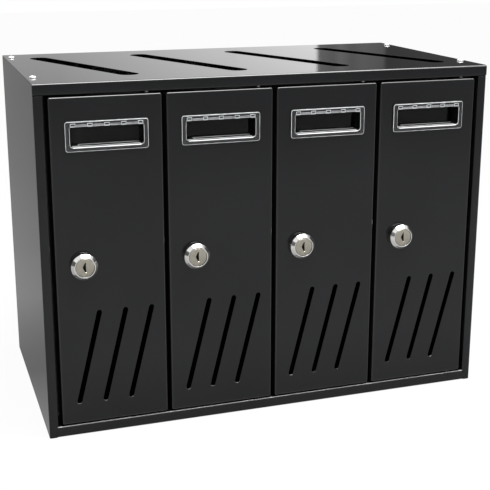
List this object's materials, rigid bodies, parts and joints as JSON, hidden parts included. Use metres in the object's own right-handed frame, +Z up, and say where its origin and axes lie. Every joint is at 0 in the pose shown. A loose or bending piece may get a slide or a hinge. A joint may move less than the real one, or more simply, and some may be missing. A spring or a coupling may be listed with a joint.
{
  "type": "bank of vertical letterboxes",
  "caption": "Black steel letterbox bank: tall lockable doors side by side with label holders and slanted vents, and diagonal letter slots in the top that feed each compartment.",
  "frame": {"origin": "middle of the cabinet's footprint, on the underside of the bottom panel", "axes": "+Z up, +X to the viewer's right along the row of doors, -Y out of the doors"},
  "size_m": [0.46, 0.259, 0.3472],
  "materials": {
    "black_coat": "satin black powder coat",
    "zinc": "bright zinc plate",
    "chrome": "polished",
    "satin_nickel": "satin nickel",
    "clear_plastic": "clear"
  },
  "bodies": {
    "cabinet": {"top_panel": "black_coat", "bottom_panel": "black_coat", "back_panel": "black_coat", "left_side_panel": "black_coat", "right_side_panel": "black_coat", "partition_1": "black_coat", "partition_2": "black_coat", "partition_3": "black_coat", "top_screw_1": "zinc", "top_screw_2": "zinc", "top_screw_3": "zinc", "top_screw_4": "zinc"},
    "door_1_leaf": {"door_1": "black_coat", "hinge_pin_top_1": "zinc", "hinge_pin_bottom_1": "zinc", "label_frame_1": "clear_plastic", "label_window_1": "clear_plastic", "lock_housing_1": "chrome", "lock_nut_1": "zinc"},
    "lock_1_plug_and_cam": {"lock_plug_1": "satin_nickel", "lock_cam_1": "zinc", "cam_screw_1": "zinc"},
    "door_2_leaf": {"door_2": "black_coat", "hinge_pin_top_2": "zinc", "hinge_pin_bottom_2": "zinc", "label_frame_2": "clear_plastic", "label_window_2": "clear_plastic", "lock_housing_2": "chrome", "lock_nut_2": "zinc"},
    "lock_2_plug_and_cam": {"lock_plug_2": "satin_nickel", "lock_cam_2": "zinc", "cam_screw_2": "zinc"},
    "door_3_leaf": {"door_3": "black_coat", "hinge_pin_top_3": "zinc", "hinge_pin_bottom_3": "zinc", "label_frame_3": "clear_plastic", "label_window_3": "clear_plastic", "lock_housing_3": "chrome", "lock_nut_3": "zinc"},
    "lock_3_plug_and_cam": {"lock_plug_3": "satin_nickel", "lock_cam_3": "zinc", "cam_screw_3": "zinc"},
    "door_4_leaf": {"door_4": "black_coat", "hinge_pin_top_4": "zinc", "hinge_pin_bottom_4": "zinc", "label_frame_4": "clear_plastic", "label_window_4": "clear_plastic", "lock_housing_4": "chrome", "lock_nut_4": "zinc"},
    "lock_4_plug_and_cam": {"lock_plug_4": "satin_nickel", "lock_cam_4": "zinc", "cam_screw_4": "zinc"}
  },
  "joints": [
    {"name": "door_1_swing", "type": "hinge", "parent": "cabinet", "child": "door_1_leaf", "pos_m": [-0.1245, -0.1185, 0.1725], "axis": [0, 0, 1], "range_deg": [0, 105]},
    {"name": "lock_1_turn", "type": "hinge", "parent": "door_1_leaf", "child": "lock_1_plug_and_cam", "pos_m": [-0.1906, -0.125, 0.1725], "axis": [0, 1, 0], "range_deg": [0, 90]},
    {"name": "door_2_swing", "type": "hinge", "parent": "cabinet", "child": "door_2_leaf", "pos_m": [-0.015, -0.1185, 0.1725], "axis": [0, 0, 1], "range_deg": [0, 105]},
    {"name": "lock_2_turn", "type": "hinge", "parent": "door_2_leaf", "child": "lock_2_plug_and_cam", "pos_m": [-0.0811, -0.125, 0.1725], "axis": [0, 1, 0], "range_deg": [0, 90]},
    {"name": "door_3_swing", "type": "hinge", "parent": "cabinet", "child": "door_3_leaf", "pos_m": [0.0945, -0.1185, 0.1725], "axis": [0, 0, 1], "range_deg": [0, 105]},
    {"name": "lock_3_turn", "type": "hinge", "parent": "door_3_leaf", "child": "lock_3_plug_and_cam", "pos_m": [0.0284, -0.125, 0.1725], "axis": [0, 1, 0], "range_deg": [0, 90]},
    {"name": "door_4_swing", "type": "hinge", "parent": "cabinet", "child": "door_4_leaf", "pos_m": [0.204, -0.1185, 0.1725], "axis": [0, 0, 1], "range_deg": [0, 105]},
    {"name": "lock_4_turn", "type": "hinge", "parent": "door_4_leaf", "child": "lock_4_plug_and_cam", "pos_m": [0.1379, -0.125, 0.1725], "axis": [0, 1, 0], "range_deg": [0, 90]}
  ]
}
